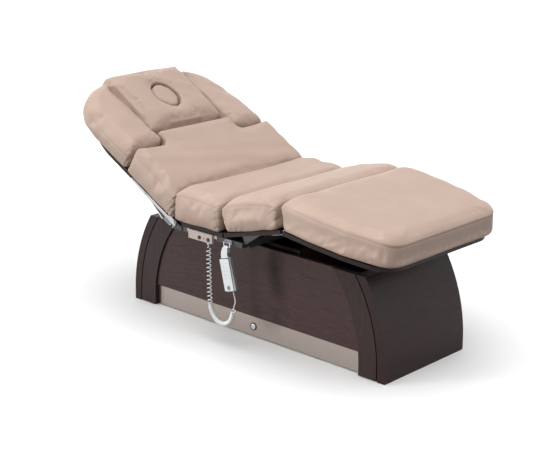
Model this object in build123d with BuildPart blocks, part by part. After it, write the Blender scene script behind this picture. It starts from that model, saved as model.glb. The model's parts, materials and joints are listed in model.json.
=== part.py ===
"""Facial treatment bed: a wood-clad lifting base that carries a four-section upholstered top.

Millimetres. +X points to the foot end, -Y to the operator's side (the "near" side), +Z up.
The origin is on the floor, under the middle of the bed's outline.
The back rises towards -X, the thigh section towards +X, and the leg section falls to the foot.
"""
from build123d import *
from math import cos, pi, radians, sin, sqrt, tan
import os

os.makedirs("parts", exist_ok=True)

# ---------------------------------------------------------------- driving dimensions
base_x = 95.7                  # middle of the base, from the origin
base_half_length = 704.0       # at the floor
base_half_width = 254.0
base_height = 406.0
curve_start = 40.0             # the ends are upright below this height
curve_radius = 674.0           # and lean inwards on this radius above it
board_thickness = 38.0         # curved end boards
groove = 5.0                   # shadow gap between an end board and its legs
leg_width = 87.0
leg_clearance = 3.0            # the legs stop this far above the floor
leg_rebate = 10.0              # depth of the shadow gap
panel_setback = 8.0            # side panels, behind the legs' faces
panel_thickness = 18.0
kick_height = 95.0
kick_low = 5.0
kick_setback = 20.0
kick_sheet = 4.0

collar_half_length = 217.0     # boards around the lifting columns
collar_half_width = 200.0
collar_top = 413.0
collar_board = 15.0

column_x = (base_x - 140.0, base_x + 40.0)
column_size = 100.0
column_wall = 5.0
column_inner_size = 86.0

frame_top = 456.0
frame_low = 426.0
side_rail_low = 434.0
rail_outer = 385.0             # outer face of each side rail
rail_width = 40.0
seat_top = 475.0               # top of the seat board
section_half_width = 407.0     # cushions
board_half_width = 389.0

back_hinge = Vector(base_x - 303.0, 0, 464.0)
back_angle = 28.7              # as stored
back_board_low, back_board_high = -6.0, 12.0
back_cushion_high = 130.0

head_along = 420.0             # the headrest's hinge, up the back from the back's hinge
head_extra_angle = 2.5

thigh_hinge = Vector(base_x - 20.0, 0, 467.0)
thigh_angle = 14.2
knee_along = 322.0
leg_angle = -8.0
leg_length = 490.0
section_low, section_high = -8.0, 9.0      # boards of the thigh and leg sections
cushion_high = 112.0

pin_clearance = 0.05
gap = 0.5


# ---------------------------------------------------------------- helpers
def finish(builder, name):
    """Label a finished piece and write it to its own file."""
    builder.part.label = name
    export_step(builder.part, f"parts/{name}.step")


def along_of(angle, way):
    """Direction that climbs at an angle towards way * X."""
    return Vector(way * cos(radians(angle)), 0, sin(radians(angle)))


def normal_of(angle, way):
    """Upward normal of a section that climbs at an angle towards way * X."""
    return Vector(-way * sin(radians(angle)), 0, cos(radians(angle)))


def plan(hinge, angle, way, height=0.0):
    """Sketch plane parallel to a section: x is along it, z is its normal."""
    return Plane(
        origin=hinge + normal_of(angle, way) * height,
        x_dir=along_of(angle, way),
        z_dir=normal_of(angle, way),
    )


def side(hinge, angle, way, y=0.0):
    """Upright sketch plane across a section: x is along it, y is its normal."""
    return Plane(
        origin=hinge + Vector(0, y, 0),
        x_dir=along_of(angle, way),
        z_dir=(0, -way, 0),
    )


head_hinge = back_hinge + along_of(back_angle, -1) * head_along
head_angle = back_angle + head_extra_angle
knee_hinge = thigh_hinge + along_of(thigh_angle, 1) * knee_along


def curve_x(z, inset):
    """Half length of the base at a height, measured to a depth inside its curved end."""
    rise = max(0.0, z - curve_start)
    return base_half_length - curve_radius + sqrt((curve_radius - inset) ** 2 - rise**2)


def end_point(end, z, inset):
    """Point on the curved end, in the upright plane."""
    return (base_x + end * curve_x(z, inset), z)


def curved_band(end, low, outer, inner):
    """Outline of a band that follows the curved end, added to the open line."""
    middle = (curve_start + base_height) / 2
    Line(end_point(end, low, outer), end_point(end, curve_start, outer))
    ThreePointArc(*[end_point(end, z, outer) for z in (curve_start, middle, base_height)])
    Line(end_point(end, base_height, outer), end_point(end, base_height, inner))
    ThreePointArc(*[end_point(end, z, inner) for z in (base_height, middle, curve_start)])
    Line(end_point(end, curve_start, inner), end_point(end, low, inner))
    Line(end_point(end, low, inner), end_point(end, low, outer))


def upright(y):
    """Upright sketch plane at a distance on the near side of the middle."""
    return Plane.XZ.offset(-y)


# ---------------------------------------------------------------- base
for end, end_name in ((-1, "head"), (1, "foot")):
    with BuildPart() as end_board:
        with BuildSketch(Plane.XZ):
            with BuildLine():
                curved_band(end, 0.0, 0.0, board_thickness)
            make_face()
        extrude(amount=base_half_width, both=True)
    finish(end_board, f"end_board_{end_name}")

leg_post_back = base_half_width - panel_setback - panel_thickness
with BuildPart() as leg_posts:
    for y_way in (-1, 1):
        for end in (-1, 1):
            for start_y, depth, outer in (
                (leg_post_back, base_half_width - leg_rebate - leg_post_back, board_thickness),
                (base_half_width - leg_rebate, leg_rebate, board_thickness + groove),
            ):
                with BuildSketch(upright(y_way * start_y)):
                    with BuildLine():
                        curved_band(end, leg_clearance, outer, board_thickness + groove + leg_width)
                    make_face()
                extrude(amount=-y_way * depth)
finish(leg_posts, "leg_posts")

leg_inner = board_thickness + groove + leg_width
with BuildPart() as side_panels:
    for y_way in (-1, 1):
        with BuildSketch(upright(y_way * (base_half_width - panel_setback))):
            with BuildLine():
                middle_z = (kick_height + base_height) / 2
                for end in (-1, 1):
                    ThreePointArc(
                        *[end_point(end, z, leg_inner) for z in (kick_height, middle_z, base_height)]
                    )
                for z in (kick_height, base_height):
                    Line(end_point(-1, z, leg_inner), end_point(1, z, leg_inner))
            make_face()
        extrude(amount=y_way * panel_thickness)
finish(side_panels, "side_panels")

button_x = base_x
button_z = 46.0
bezel_radius = 17.0
button_radius = 12.5
inlet_x = base_x - 420.0
inlet_z = 50.0
inlet_width, inlet_height = 48.0, 28.0
kick_half_length = curve_x(kick_height, leg_inner)
kick_face = base_half_width - kick_setback
with BuildPart() as kick_plate_near:
    with BuildSketch(upright(-kick_face)):
        with Locations((base_x, (kick_low + kick_height - gap) / 2)):
            Rectangle(2 * kick_half_length, kick_height - gap - kick_low)
        with Locations((button_x, button_z)):
            Circle(bezel_radius - 2, mode=Mode.SUBTRACT)
    extrude(amount=-kick_sheet)
finish(kick_plate_near, "kick_plate_near")

# the far plate is two sheets, one each side of the mains inlet's panel
with BuildPart() as kick_plate_far:
    for sheet_low, sheet_high in (
        (base_x - kick_half_length, inlet_x - inlet_width / 2 - gap),
        (inlet_x + inlet_width / 2 + gap, base_x + kick_half_length),
    ):
        with BuildSketch(upright(kick_face)):
            with Locations(((sheet_low + sheet_high) / 2, (kick_low + kick_height - gap) / 2)):
                Rectangle(sheet_high - sheet_low, kick_height - gap - kick_low)
        extrude(amount=kick_sheet)
finish(kick_plate_far, "kick_plate_far")

# round switch in the near kick plate: a flanged bezel and a push button that travels in it
bezel_depth = 22.0
with BuildPart() as switch_bezel:
    with BuildSketch(upright(-kick_face)):
        with Locations((button_x, button_z)):
            Circle(bezel_radius)
    extrude(amount=3.0)
    with BuildSketch(upright(-kick_face)):
        with Locations((button_x, button_z)):
            Circle(bezel_radius - 2.2)
    extrude(amount=-bezel_depth)
    with BuildSketch(upright(-kick_face - 3.0)):
        with Locations((button_x, button_z)):
            Circle(button_radius + 0.4)
    extrude(amount=-(bezel_depth + 3.0 - 2.0), mode=Mode.SUBTRACT)
    fillet(switch_bezel.edges().filter_by(GeomType.CIRCLE).group_by(Axis.Y)[0], radius=0.9)
finish(switch_bezel, "switch_bezel")

with BuildPart() as switch_button:
    with BuildSketch(upright(-kick_face - 4.0)):
        with Locations((button_x, button_z)):
            Circle(button_radius)
    extrude(amount=-12.0)
    fillet(switch_button.edges().filter_by(GeomType.CIRCLE).group_by(Axis.Y)[0], radius=2.5)
finish(switch_button, "switch_button")

# mains inlet in its own panel in the far kick plate, with its three pins deep in the socket
cavity_width, cavity_height = 24.0, 15.0
with BuildPart() as mains_inlet:
    with BuildSketch(upright(kick_face)):
        with Locations((inlet_x, (kick_low + kick_height - gap) / 2)):
            Rectangle(inlet_width, kick_height - gap - kick_low)
    extrude(amount=kick_sheet)
    with BuildSketch(upright(kick_face)):
        with Locations((inlet_x, inlet_z)):
            Rectangle(inlet_width - 9, inlet_height - 9)
    extrude(amount=20.0)
    with BuildSketch(upright(kick_face)):
        with Locations((inlet_x, inlet_z)):
            Rectangle(cavity_width, cavity_height)
    extrude(amount=14.0, mode=Mode.SUBTRACT)
    with BuildSketch(upright(kick_face - 14.0)):
        with Locations((inlet_x - 7, inlet_z), (inlet_x, inlet_z), (inlet_x + 7, inlet_z)):
            Rectangle(2.0, 4.5)
    extrude(amount=-8.0)
finish(mains_inlet, "mains_inlet")

# four boards around the columns; the one at the head side is lower and lets the actuators out
rail_low, rail_high = 14.0, 54.0
actuator_y = 110.0
collar_head_top = 350.0
with BuildPart() as collar_boards:
    with BuildSketch(Plane.XY.offset(rail_high)):
        side_y = collar_half_width - collar_board / 2
        with Locations((base_x, side_y), (base_x, -side_y)):
            Rectangle(2 * collar_half_length, collar_board)
    extrude(amount=collar_top - rail_high)
    for end, top in ((-1, collar_head_top), (1, collar_top)):
        with BuildSketch(Plane.XY.offset(rail_high)):
            with Locations((base_x + end * (collar_half_length - collar_board / 2), 0)):
                Rectangle(collar_board, 2 * (collar_half_width - collar_board - gap))
        extrude(amount=top - rail_high)
finish(collar_boards, "collar_boards")

floor_rail_y = 150.0
with BuildPart() as floor_rails:
    rail_middle = (rail_low + rail_high) / 2
    with Locations((base_x, floor_rail_y, rail_middle), (base_x, -floor_rail_y, rail_middle)):
        Box(2 * (base_half_length - 46), 40, rail_high - rail_low)
        Box(2 * base_half_length, 34, rail_high - rail_low - 6, mode=Mode.SUBTRACT)
finish(floor_rails, "floor_rails")

with BuildPart() as levelling_feet:
    with BuildSketch(Plane.XY):
        with Locations((base_x, 0)):
            with GridLocations(1160, 2 * floor_rail_y, 2, 2):
                Circle(20)
    extrude(amount=8)
    with BuildSketch(Plane.XY.offset(8)):
        with Locations((base_x, 0)):
            with GridLocations(1160, 2 * floor_rail_y, 2, 2):
                Circle(6)
    extrude(amount=rail_low - 8)
finish(levelling_feet, "levelling_feet")

with BuildPart() as control_box:
    with Locations((base_x + 430, 0, 100)):
        Box(210, 150, 72)
    fillet(control_box.edges().filter_by(Axis.Z), radius=8)
    fillet(control_box.faces().sort_by(Axis.Z)[-1].edges(), radius=3)
    with BuildSketch(Plane.XY.offset(rail_high)):
        with Locations((base_x + 430, 0)):
            Rectangle(160, 2 * floor_rail_y + 30)
    extrude(amount=10)
finish(control_box, "control_box")

column_low, column_high = 34.0, 400.0
with BuildPart() as lift_columns_outer:
    for x in column_x:
        with BuildSketch(Plane.XY.offset(rail_low + 6)):
            with Locations((x, 0)):
                Rectangle(150, 2 * floor_rail_y - 42)
        extrude(amount=column_low - rail_low - 6)
        with BuildSketch(Plane.XY.offset(column_low)):
            with Locations((x, 0)):
                RectangleRounded(column_size, column_size, 10)
                RectangleRounded(
                    column_size - 2 * column_wall, column_size - 2 * column_wall, 6, mode=Mode.SUBTRACT
                )
        extrude(amount=column_high - column_low)
finish(lift_columns_outer, "lift_columns_outer")

guide_height = 8.0
with BuildPart() as column_guides:
    with BuildSketch(Plane.XY.offset(column_high)):
        with Locations(*[(x, 0) for x in column_x]):
            RectangleRounded(column_size, column_size, 10)
            RectangleRounded(column_inner_size + 1, column_inner_size + 1, 5.5, mode=Mode.SUBTRACT)
    extrude(amount=guide_height)
finish(column_guides, "column_guides")

# ---------------------------------------------------------------- lifting top frame
top_plate = 8.0
with BuildPart() as lift_columns_inner:
    for x in column_x:
        with BuildSketch(Plane.XY.offset(column_low + 6)):
            with Locations((x, 0)):
                RectangleRounded(column_inner_size, column_inner_size, 5)
                RectangleRounded(column_inner_size - 10, column_inner_size - 10, 2, mode=Mode.SUBTRACT)
        extrude(amount=frame_low - top_plate - column_low - 6)
        with BuildSketch(Plane.XY.offset(frame_low - top_plate)):
            with Locations((x, 0)):
                Rectangle(116, 120)
        extrude(amount=top_plate)
finish(lift_columns_inner, "lift_columns_inner")

rail_head = base_x - 310.0
rail_foot = base_x + 80.0
back_ear_radius = 15.0
thigh_ear_radius = 7.5
ear = 4.0
back_pin_radius = 6.0
thigh_pin_radius = 4.0
with BuildPart() as top_rails:
    for y_way in (-1, 1):
        rail_y = y_way * (rail_outer - rail_width / 2)
        with Locations(((rail_head + rail_foot) / 2, rail_y, (side_rail_low + frame_top) / 2)):
            Box(rail_foot - rail_head, rail_width, frame_top - side_rail_low)
        # outer ear for the back's hinge, inner ear for the thigh's
        with BuildSketch(upright(y_way * rail_outer)):
            with BuildLine():
                Polyline(
                    (back_hinge.X - 7, side_rail_low + 2),
                    (back_hinge.X - back_ear_radius, back_hinge.Z),
                    (back_hinge.X + back_ear_radius, back_hinge.Z),
                    (back_hinge.X + 44, frame_top - 6),
                    (back_hinge.X + 44, side_rail_low + 2),
                    close=True,
                )
            make_face()
            with Locations((back_hinge.X, back_hinge.Z)):
                Circle(back_ear_radius)
                Circle(back_pin_radius + pin_clearance, mode=Mode.SUBTRACT)
        extrude(amount=-y_way * ear)
        with BuildSketch(upright(y_way * (rail_outer - rail_width))):
            with Locations((thigh_hinge.X, (side_rail_low + thigh_hinge.Z) / 2)):
                Rectangle(2 * thigh_ear_radius, thigh_hinge.Z - side_rail_low)
            with Locations((thigh_hinge.X, thigh_hinge.Z)):
                Circle(thigh_ear_radius)
                Circle(thigh_pin_radius + pin_clearance, mode=Mode.SUBTRACT)
        extrude(amount=y_way * ear)
finish(top_rails, "top_rails")

cross_tubes_x = (base_x - 286.0, column_x[0], base_x + 53.0)
cross_tube_widths = (30.0, 60.0, 50.0)
clevis_z = 400.0
back_clevis_x = base_x + 38.0
leg_clevis_x = base_x - 284.0
clevis_gap = 30.0
clevis_pin_radius = 5.0
with BuildPart() as cross_tubes:
    for x, width in zip(cross_tubes_x, cross_tube_widths):
        with Locations((x, 0, (frame_low + frame_top) / 2)):
            Box(width, 2 * (rail_outer - rail_width) - 2 * ear - 1, frame_top - frame_low)
    # two cheeks under a tube hold the fixed end of each actuator
    for x, y in ((back_clevis_x, actuator_y), (leg_clevis_x, -actuator_y)):
        for cheek in (-1, 1):
            with BuildSketch(upright(y + cheek * (clevis_gap / 2 + 2))):
                with BuildLine():
                    Polyline(
                        (x - 13, frame_low + 2), (x + 13, frame_low + 2),
                        (x + 13, clevis_z), (x - 13, clevis_z), close=True,
                    )
                make_face()
                with Locations((x, clevis_z)):
                    Circle(13)
                    Circle(clevis_pin_radius + pin_clearance, mode=Mode.SUBTRACT)
            extrude(amount=2, both=True)
finish(cross_tubes, "cross_tubes")

seat_head = base_x - 298.0
seat_foot = base_x - 25.0
ear_y = rail_outer - rail_width - 1.5 * ear
with BuildPart() as seat_board:
    with BuildSketch(Plane.XY.offset(frame_top)):
        with Locations(((seat_head + seat_foot) / 2, 0)):
            Rectangle(seat_foot - seat_head, 2 * board_half_width)
        with Locations((seat_head, board_half_width), (seat_head, -board_half_width)):
            Rectangle(84, 20, mode=Mode.SUBTRACT)
        # notches that clear the ears of the thigh's hinge
        with Locations((seat_foot, ear_y), (seat_foot, -ear_y)):
            Rectangle(14, 3 * ear, mode=Mode.SUBTRACT)
    extrude(amount=seat_top - frame_top)
finish(seat_board, "seat_board")

with BuildPart() as seat_cushion:
    with BuildSketch(Plane.XZ):
        with BuildLine():
            Polyline(
                (base_x - 275, seat_top),
                (base_x - 231, 590),
                (base_x - 130, 600),
                (base_x - 30, 588),
                (seat_foot, seat_top),
                close=True,
            )
        make_face()
    extrude(amount=section_half_width, both=True)
finish(seat_cushion, "seat_cushion")

# pins of the back (outside the rails), the thigh section (inside them) and the actuators' fixed ends
with BuildPart() as hinge_pins:
    for y_way in (-1, 1):
        with BuildSketch(upright(y_way * (rail_outer + 0.3))):
            with Locations((back_hinge.X, back_hinge.Z)):
                Circle(back_pin_radius)
        extrude(amount=-y_way * (2 * ear + 1.2))
        with BuildSketch(upright(y_way * (rail_outer + 2 * ear + 1.5))):
            with Locations((back_hinge.X, back_hinge.Z)):
                Circle(back_pin_radius + 3)
        extrude(amount=-y_way * 3)
        with BuildSketch(upright(y_way * (rail_outer - rail_width - 2 * ear - 3))):
            with Locations((thigh_hinge.X, thigh_hinge.Z)):
                Circle(thigh_pin_radius)
        extrude(amount=-y_way * (2 * ear + 2.5))
    for x, y in ((back_clevis_x, actuator_y), (leg_clevis_x, -actuator_y)):
        with BuildSketch(upright(y + clevis_gap / 2 + 5)):
            with Locations((x, clevis_z)):
                Circle(clevis_pin_radius)
        extrude(amount=clevis_gap + 10)
finish(hinge_pins, "hinge_pins")

# sheet-metal bracket on the near rail, with two capped sockets, a lamp and the cord's gland
bracket_left, bracket_right = base_x - 212.0, base_x - 78.0
bracket_low, bracket_high = 420.0, 456.0
bracket_face = rail_outer + 12.0
sheet = 2.0
with BuildPart() as socket_bracket:
    bracket_middle = (bracket_left + bracket_right) / 2
    bracket_width = bracket_right - bracket_left
    with Locations((bracket_middle, -(bracket_face - sheet / 2), (bracket_low + bracket_high) / 2)):
        Box(bracket_width, sheet, bracket_high - bracket_low)
    for x in (bracket_left + sheet / 2, bracket_right - sheet / 2):
        with Locations((x, -(rail_outer + bracket_face) / 2, (bracket_low + bracket_high) / 2)):
            Box(sheet, bracket_face - rail_outer, bracket_high - bracket_low)
    with Locations((bracket_middle, -(rail_outer + bracket_face) / 2, bracket_high - sheet / 2)):
        Box(bracket_width, bracket_face - rail_outer, sheet)
    with Locations((bracket_middle, -(rail_outer + bracket_face) / 2, bracket_low + sheet / 2)):
        Box(bracket_width, bracket_face - rail_outer, sheet)
    # two fixing ears, flat on the rail
    with Locations((bracket_middle, -(rail_outer + sheet / 2), bracket_high - 7)):
        Box(bracket_width + 36, sheet, 14)
    with Locations((bracket_middle, -(rail_outer + 0.5 * sheet), bracket_high - 7)):
        Box(bracket_width - 2 * sheet, 3 * sheet, 40, mode=Mode.SUBTRACT)
finish(socket_bracket, "socket_bracket")

socket_x = (base_x - 148.0, base_x - 98.0)
socket_z = 434.0
with BuildPart() as socket_caps:
    for x in socket_x:
        with BuildSketch(upright(-bracket_face)):
            with Locations((x, socket_z)):
                Circle(8.0)
        extrude(amount=3.0)
        with BuildSketch(upright(-bracket_face - 3.0)):
            with Locations((x, socket_z)):
                Circle(4.5)
        extrude(amount=2.0)
finish(socket_caps, "socket_caps")

with BuildPart() as socket_lamp:
    with BuildSketch(upright(-bracket_face)):
        with Locations((sum(socket_x) / 2, socket_z)):
            Circle(2.5)
    extrude(amount=2.0)
finish(socket_lamp, "socket_lamp")

cord_x = base_x - 103.0
cord_y = -(rail_outer + 5.0)
gland_low = bracket_low - 8.0
with BuildPart() as cord_gland:
    with BuildSketch(Plane.XY.offset(gland_low)):
        with Locations((cord_x, cord_y)):
            Circle(5.5)
    extrude(amount=bracket_low - gland_low, taper=-6)
finish(cord_gland, "cord_gland")

# hanger for the handset: a block on the rail and a bent wire below it
hanger_x = base_x + 8.0
wire_radius = 1.6
wire_y = -(rail_outer + 13.5)
wire_low = 428.0
wire_span = 32.0
clip_width, clip_depth = 38.0, 5.0
with BuildPart() as hanger_clip:
    with Locations((hanger_x, -(rail_outer + clip_depth / 2), frame_top - 9)):
        Box(clip_width, clip_depth, 18)
    fillet(hanger_clip.edges().filter_by(Axis.Y), radius=4)
finish(hanger_clip, "hanger_clip")

with BuildPart() as hanger_wire:
    with BuildLine() as wire_path:
        wire_top_y = -(rail_outer + clip_depth)
        FilletPolyline(
            (hanger_x - wire_span / 2, wire_top_y, frame_top - 9),
            (hanger_x - wire_span / 2, wire_y, frame_top - 9),
            (hanger_x - wire_span / 2, wire_y, wire_low),
            (hanger_x + wire_span / 2, wire_y, wire_low),
            (hanger_x + wire_span / 2, wire_y, frame_top - 9),
            (hanger_x + wire_span / 2, wire_top_y, frame_top - 9),
            radius=3.0,
        )
    with BuildSketch(Plane(origin=wire_path.line @ 0, z_dir=wire_path.line % 0)):
        Circle(wire_radius)
    sweep()
finish(hanger_wire, "hanger_wire")

# ---------------------------------------------------------------- back section
back_half_narrow = 383.0


def back_plan(height):
    return plan(back_hinge, back_angle, -1, height)


head_half_width = 213.0
bolster_inner = 222.0
# plan of a bolster's outer edge, along the back and across it
bolster_edge = ((560, 401), (640, 385), (700, 352), (740, 305), (756, 258), (758, bolster_inner))
# the board below a bolster stops well inside it, so that only upholstery shows
bolster_board_edge = ((560, 368), (640, 330), (690, 285), (703, 250), (705, bolster_inner + 4))
with BuildPart() as back_board:
    with BuildSketch(back_plan(back_board_low)):
        with BuildLine():
            Polyline(
                (7, -back_half_narrow), (56, -back_half_narrow), (56, -board_half_width),
                (head_along - 8, -board_half_width), (head_along - 8, board_half_width),
                (56, board_half_width), (56, back_half_narrow), (7, back_half_narrow), close=True,
            )
        make_face()
        # the two bolsters' boards carry on past the headrest's opening
        for way in (-1, 1):
            with BuildLine():
                start = (head_along - 20, way * board_half_width)
                edge = [(x, way * y) for x, y in bolster_board_edge]
                Line(start, (460, way * board_half_width))
                Spline((460, way * board_half_width), *edge)
                Line(edge[-1], (head_along - 20, way * (bolster_inner + 4)))
                Line((head_along - 20, way * (bolster_inner + 4)), start)
            make_face()
    extrude(amount=back_board_high - back_board_low)
finish(back_board, "back_board")

bolster_start = 330.0
bolster_high = 130.0
notch = 5.0                    # seam between the back cushion and a bolster
with BuildPart() as back_cushion:
    with BuildSketch(back_plan(back_board_high)) as cushion_plan:
        with BuildLine():
            Polyline(
                (10, -section_half_width), (bolster_start - notch, -section_half_width),
                (bolster_start - notch, -bolster_inner + 2), (head_along - 12, -bolster_inner + 2),
                (head_along - 12, bolster_inner - 2), (bolster_start - notch, bolster_inner - 2),
                (bolster_start - notch, section_half_width), (10, section_half_width), close=True,
            )
        make_face()
    extrude(amount=back_cushion_high - back_board_high)
    with BuildSketch(side(back_hinge, back_angle, -1)):
        with BuildLine():
            Polyline(
                (14, back_board_high), (50, back_cushion_high - 6), (120, back_cushion_high),
                (320, back_cushion_high), (head_along - 40, back_cushion_high - 4),
                (head_along - 12, back_board_high), close=True,
            )
        make_face()
    extrude(amount=section_half_width, both=True, mode=Mode.INTERSECT)
finish(back_cushion, "back_cushion")

for way, side_name in ((1, "near"), (-1, "far")):
    with BuildPart() as bolster:
        with BuildSketch(back_plan(back_board_high)):
            with BuildLine():
                low_outer = (bolster_start, way * section_half_width)
                shoulder = (440, way * section_half_width)
                edge = [(x, way * y) for x, y in bolster_edge]
                Line(low_outer, shoulder)
                Spline(shoulder, *edge)
                Line(edge[-1], (bolster_start, way * bolster_inner))
                Line((bolster_start, way * bolster_inner), low_outer)
            make_face()
        extrude(amount=bolster_high - back_board_high)
    finish(bolster, f"bolster_{side_name}")

# silver arms along the back's sides: each carries the back on its hinge pin
arm_inner = rail_outer + ear + gap
arm_high, arm_low = 4.0, -10.0
with BuildPart() as hinge_arms:
    for y_way in (-1, 1):
        with BuildSketch(side(back_hinge, back_angle, -1, y_way * arm_inner)):
            with BuildLine():
                Polyline(
                    (-13, -13), (13, -13), (36, arm_low), (190, arm_low), (292, arm_high - 8),
                    (292, arm_high), (40, arm_high), (22, 11.5), (-13, 11.5), close=True,
                )
            make_face()
            Circle(back_pin_radius + pin_clearance, mode=Mode.SUBTRACT)
        extrude(amount=y_way * ear)
finish(hinge_arms, "hinge_arms")

web_y = 370.0
web_thickness = 12.0
with BuildPart() as web_strips:
    for y_way in (-1, 1):
        with BuildSketch(side(back_hinge, back_angle, -1, y_way * web_y)):
            with BuildLine():
                Polyline((66, -36.2), (184, -12.2), (190, -15.5), (66, -40.5), close=True)
            make_face()
        extrude(amount=y_way * (web_thickness + 2))
finish(web_strips, "web_strips")

# tapered webs under the back board, the cross tube between them, and the two crank plates that
# the back's actuator pushes
crank_reach = 80.0
crank_gap = 24.0
with BuildPart() as back_frame:
    for y_way in (-1, 1):
        with BuildSketch(side(back_hinge, back_angle, -1, y_way * web_y)):
            with BuildLine():
                Polyline((64, back_board_low), (66, -36), (184, -12), (188, back_board_low), close=True)
            make_face()
        extrude(amount=y_way * web_thickness)
    with BuildSketch(side(back_hinge, back_angle, -1)):
        with Locations((40, -22)):
            Rectangle(44, 30)
    extrude(amount=web_y + web_thickness - 2, both=True)
    for cheek in (-1, 1):
        y = actuator_y + cheek * (crank_gap / 2 + 2)
        with BuildSketch(side(back_hinge, back_angle, -1, y)):
            with BuildLine():
                Polyline((62, -20), (62, -40), (12, -crank_reach), (-12, -crank_reach), (18, -20), close=True)
            make_face()
            with Locations((0, -crank_reach)):
                Circle(12)
                Circle(5, mode=Mode.SUBTRACT)
        extrude(amount=2, both=True)
finish(back_frame, "back_frame")

with BuildPart() as tube_caps:
    for y_way in (-1, 1):
        with BuildSketch(side(back_hinge, back_angle, -1, y_way * (web_y + web_thickness - 2))):
            with Locations((40, -22)):
                RectangleRounded(44, 30, 4)
        extrude(amount=y_way * 4)
finish(tube_caps, "tube_caps")

# ---------------------------------------------------------------- headrest
head_board_half = 205.0
head_board_end = 350.0
head_board_low, head_board_high = -6.0, 10.0
pillow_end = 376.0
pillow_high = 136.0
face_centre = 188.0
face_half_length, face_half_width = 77.5, 62.0
plug_play = 1.5
board_hole_half_length, board_hole_half_width = 62.0, 46.0


def head_plan(height):
    return plan(head_hinge, head_angle, -1, height)


with BuildPart() as head_board:
    with BuildSketch(head_plan(head_board_low)):
        with Locations(((8 + head_board_end) / 2, 0)):
            RectangleRounded(head_board_end - 8, 2 * head_board_half, 20)
        with Locations((face_centre, 0)):
            Ellipse(board_hole_half_length, board_hole_half_width, mode=Mode.SUBTRACT)
    extrude(amount=head_board_high - head_board_low)
finish(head_board, "head_board")

with BuildPart() as head_pillow:
    with BuildSketch(side(head_hinge, head_angle, -1)):
        with BuildLine():
            Polyline(
                (4, head_board_high), (16, pillow_high - 12), (30, pillow_high),
                (pillow_end - 26, pillow_high),
                (pillow_end, pillow_high - 24), (pillow_end - 8, head_board_high), close=True,
            )
        make_face()
    extrude(amount=head_half_width, both=True)
    with BuildSketch(head_plan(head_board_high)):
        with Locations((face_centre, 0)):
            Ellipse(face_half_length, face_half_width)
    extrude(amount=pillow_high, mode=Mode.SUBTRACT)
finish(head_pillow, "head_pillow")

with BuildPart() as face_plug:
    with BuildSketch(head_plan(head_board_high)):
        with Locations((face_centre, 0)):
            Ellipse(face_half_length - plug_play, face_half_width - plug_play)
    extrude(amount=pillow_high - head_board_high)
finish(face_plug, "face_plug")


# ---------------------------------------------------------------- leaf hinges under the boards
knuckle_radius = 7.0
leaf_pin_radius = 4.0
leaf_length = 24.0
leaf_thickness = 3.0
leaf_reach = 62.0


def leaf(hinge, angle, way, y_low, board_low, reach):
    """One knuckle with its plate; a negative reach points back along the section."""
    turn = 1 if reach > 0 else -1
    with BuildPart() as half:
        with BuildSketch(side(hinge, angle, way, y_low)):
            with BuildLine():
                Polyline(
                    (0, -knuckle_radius + 2), (turn * 8, board_low - leaf_thickness),
                    (reach, board_low - leaf_thickness), (reach, board_low), (turn * 6.9, board_low),
                    (turn * 4, 0), close=True,
                )
            make_face()
            Circle(knuckle_radius)
            Circle(leaf_pin_radius + pin_clearance, mode=Mode.SUBTRACT)
        # the upright plane's normal is -way * Y, so this extrudes towards +Y
        extrude(amount=-way * leaf_length)
    return half.part


knee_leaf_y = (-379.0, 331.0)
head_leaf_y = (-190.0, 141.0)
leaf_gap = 0.4
leaf_sets = (
    ("knee_leaves_thigh", knee_hinge, thigh_angle, 1, section_low, -leaf_reach, knee_leaf_y, 0),
    ("knee_leaves_leg", knee_hinge, leg_angle, 1, section_low, leaf_reach, knee_leaf_y, 1),
    ("head_leaves_back", head_hinge, back_angle, -1, back_board_low, -leaf_reach, head_leaf_y, 0),
    ("head_leaves_pillow", head_hinge, head_angle, -1, head_board_low, leaf_reach, head_leaf_y, 1),
)
for name, hinge, angle, way, board_low, reach, lows, place in leaf_sets:
    with BuildPart() as leaves:
        for low in lows:
            add(leaf(hinge, angle, way, low + place * (leaf_length + leaf_gap), board_low, reach))
    finish(leaves, name)

with BuildPart() as knee_pins:
    for low in knee_leaf_y:
        with BuildSketch(upright(low - 1).shift_origin(knee_hinge + Vector(0, low - 1, 0))):
            Circle(leaf_pin_radius)
        extrude(amount=-(2 * leaf_length + leaf_gap + 2))
finish(knee_pins, "knee_pins")

# the headrest's hinge pins, and the screws that fix the silver arms to the back
with BuildPart() as back_fasteners:
    for low in head_leaf_y:
        with BuildSketch(upright(low - 1).shift_origin(head_hinge + Vector(0, low - 1, 0))):
            Circle(leaf_pin_radius)
        extrude(amount=-(2 * leaf_length + leaf_gap + 2))
    for y_way in (-1, 1):
        with BuildSketch(side(back_hinge, back_angle, -1, y_way * (arm_inner + ear))):
            with Locations((-6, -19), (9, -19), (188, -3), (196, -3), (280, 0)):
                Circle(3.2)
        extrude(amount=y_way * 1.8)
finish(back_fasteners, "back_fasteners")

# ---------------------------------------------------------------- thigh section
with BuildPart() as thigh_board:
    with BuildSketch(plan(thigh_hinge, thigh_angle, 1, section_low)):
        with Locations(((2 + knee_along - 8) / 2, 0)):
            Rectangle(knee_along - 10, 2 * board_half_width)
        for y_way in (-1, 1):
            with Locations((0, y_way * ear_y)):
                Rectangle(30, 3.6 * ear, mode=Mode.SUBTRACT)
    extrude(amount=section_high - section_low)
finish(thigh_board, "thigh_board")

with BuildPart() as thigh_cushion:
    with BuildSketch(side(thigh_hinge, thigh_angle, 1)):
        with BuildLine():
            Polyline(
                (30, section_high), (54, cushion_high - 6), (110, cushion_high + 10),
                (240, cushion_high + 10),
                (knee_along - 6, cushion_high - 6), (knee_along - 2, section_high), close=True,
            )
        make_face()
    extrude(amount=section_half_width, both=True)
finish(thigh_cushion, "thigh_cushion")

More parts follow.
